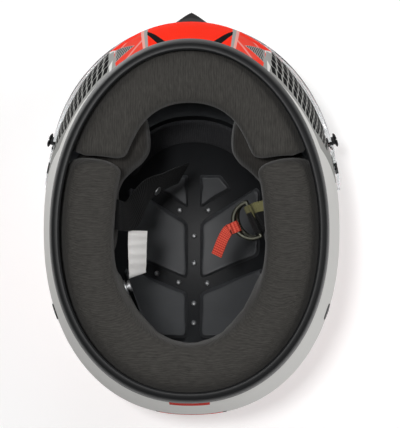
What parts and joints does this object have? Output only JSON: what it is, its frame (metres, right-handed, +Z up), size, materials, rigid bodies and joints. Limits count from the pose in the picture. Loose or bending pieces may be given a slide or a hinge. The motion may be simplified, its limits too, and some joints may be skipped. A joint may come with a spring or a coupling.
{
  "type": "auto racing helmet",
  "caption": "Full-face car racing helmet with hinged clear visor, padded interior, neck roll, chin strap with D-rings and head restraint anchors.",
  "frame": {"origin": "middle of the helmet's overall length and width, on the plane that its lower rim stands on", "axes": "+Z up to the crown, -Y out of the eye port to the front, +X to the wearer's left"},
  "size_m": [0.2604, 0.3462, 0.262],
  "materials": {
    "painted_shell": "glossy lacquer over a fibre laminate: white with red, black and silver graphics",
    "edge_rubber": "satin moulded rubber",
    "liner_foam": "fine-beaded black foam",
    "panel_foam": "satin black moulded foam",
    "comfort_fabric": "charcoal knitted fabric over foam",
    "brow_cloth": "smooth black cloth over foam",
    "visor_lens": "clear polycarbonate with a light smoke tint",
    "black_plastic": "moulded black plastic",
    "black_steel": "black oxide steel",
    "steel": "satin steel",
    "painted_steel": "white painted rivet head",
    "ring_steel": "dull nickel-plated steel wire",
    "black_webbing": "woven black webbing",
    "red_webbing": "ribbed red webbing",
    "label_cloth": "white satin ribbon, bare"
  },
  "bodies": {
    "helmet": {"outer_shell": "painted_shell", "base_trim": "edge_rubber", "port_gasket": "edge_rubber", "impact_liner": "liner_foam", "chin_foam_block": "liner_foam", "front_pad": "comfort_fabric", "neck_roll": "comfort_fabric", "cheek_pad_left": "comfort_fabric", "cheek_pad_right": "comfort_fabric", "brow_pad": "brow_cloth", "panel_front_left": "panel_foam", "panel_front_right": "panel_foam", "panel_mid_left": "panel_foam", "panel_mid_right": "panel_foam", "panel_rear_left": "panel_foam", "panel_rear_right": "panel_foam", "stud_spine_1": "steel", "stud_spine_2": "steel", "stud_spine_3": "steel", "stud_spine_4": "steel", "stud_front_left": "steel", "stud_front_right": "steel", "stud_rear_left": "steel", "stud_rear_right": "steel", "stud_rear_outer": "steel", "pivot_seat_left": "black_plastic", "pivot_seat_right": "black_plastic", "pivot_screw_left": "black_steel", "pivot_screw_right": "black_steel", "pivot_nut_left": "steel", "pivot_nut_right": "steel", "restraint_anchor_left": "black_steel", "restraint_anchor_right": "black_steel", "strap_left": "black_webbing", "strap_right": "black_webbing", "strap_plate_left": "steel", "strap_plate_right": "steel", "strap_rivet_left": "painted_steel", "strap_rivet_right": "painted_steel", "strap_snap": "steel", "neck_snap": "steel", "care_label": "label_cloth"},
    "visor": {"visor": "visor_lens", "visor_lift_tab": "black_plastic", "tear_off_post_left": "black_plastic", "tear_off_post_right": "black_plastic"},
    "d_ring_upper": {"d_ring_upper": "ring_steel"},
    "d_ring_lower": {"d_ring_lower": "ring_steel"},
    "pull_tab": {"pull_tab": "red_webbing"}
  },
  "joints": [
    {"name": "visor_hinge", "type": "hinge", "parent": "helmet", "child": "visor", "pos_m": [0, -0.04291, 0.163], "axis": [-1, 0, 0], "range_deg": [0, 50]},
    {"name": "upper_ring_hinge", "type": "hinge", "parent": "helmet", "child": "d_ring_upper", "pos_m": [0.0524, 0.003, 0.064], "axis": [0.3987, 0.9171, 0], "range_deg": [-6, 30]},
    {"name": "lower_ring_hinge", "type": "hinge", "parent": "helmet", "child": "d_ring_lower", "pos_m": [0.0524, 0.003, 0.0594], "axis": [0.3987, 0.9171, 0], "range_deg": [-35, 6]},
    {"name": "pull_tab_hinge", "type": "hinge", "parent": "d_ring_lower", "child": "pull_tab", "pos_m": [0.03724, 0.00959, 0.06352], "axis": [0.3987, 0.9171, 0], "range_deg": [-25, 25]}
  ]
}
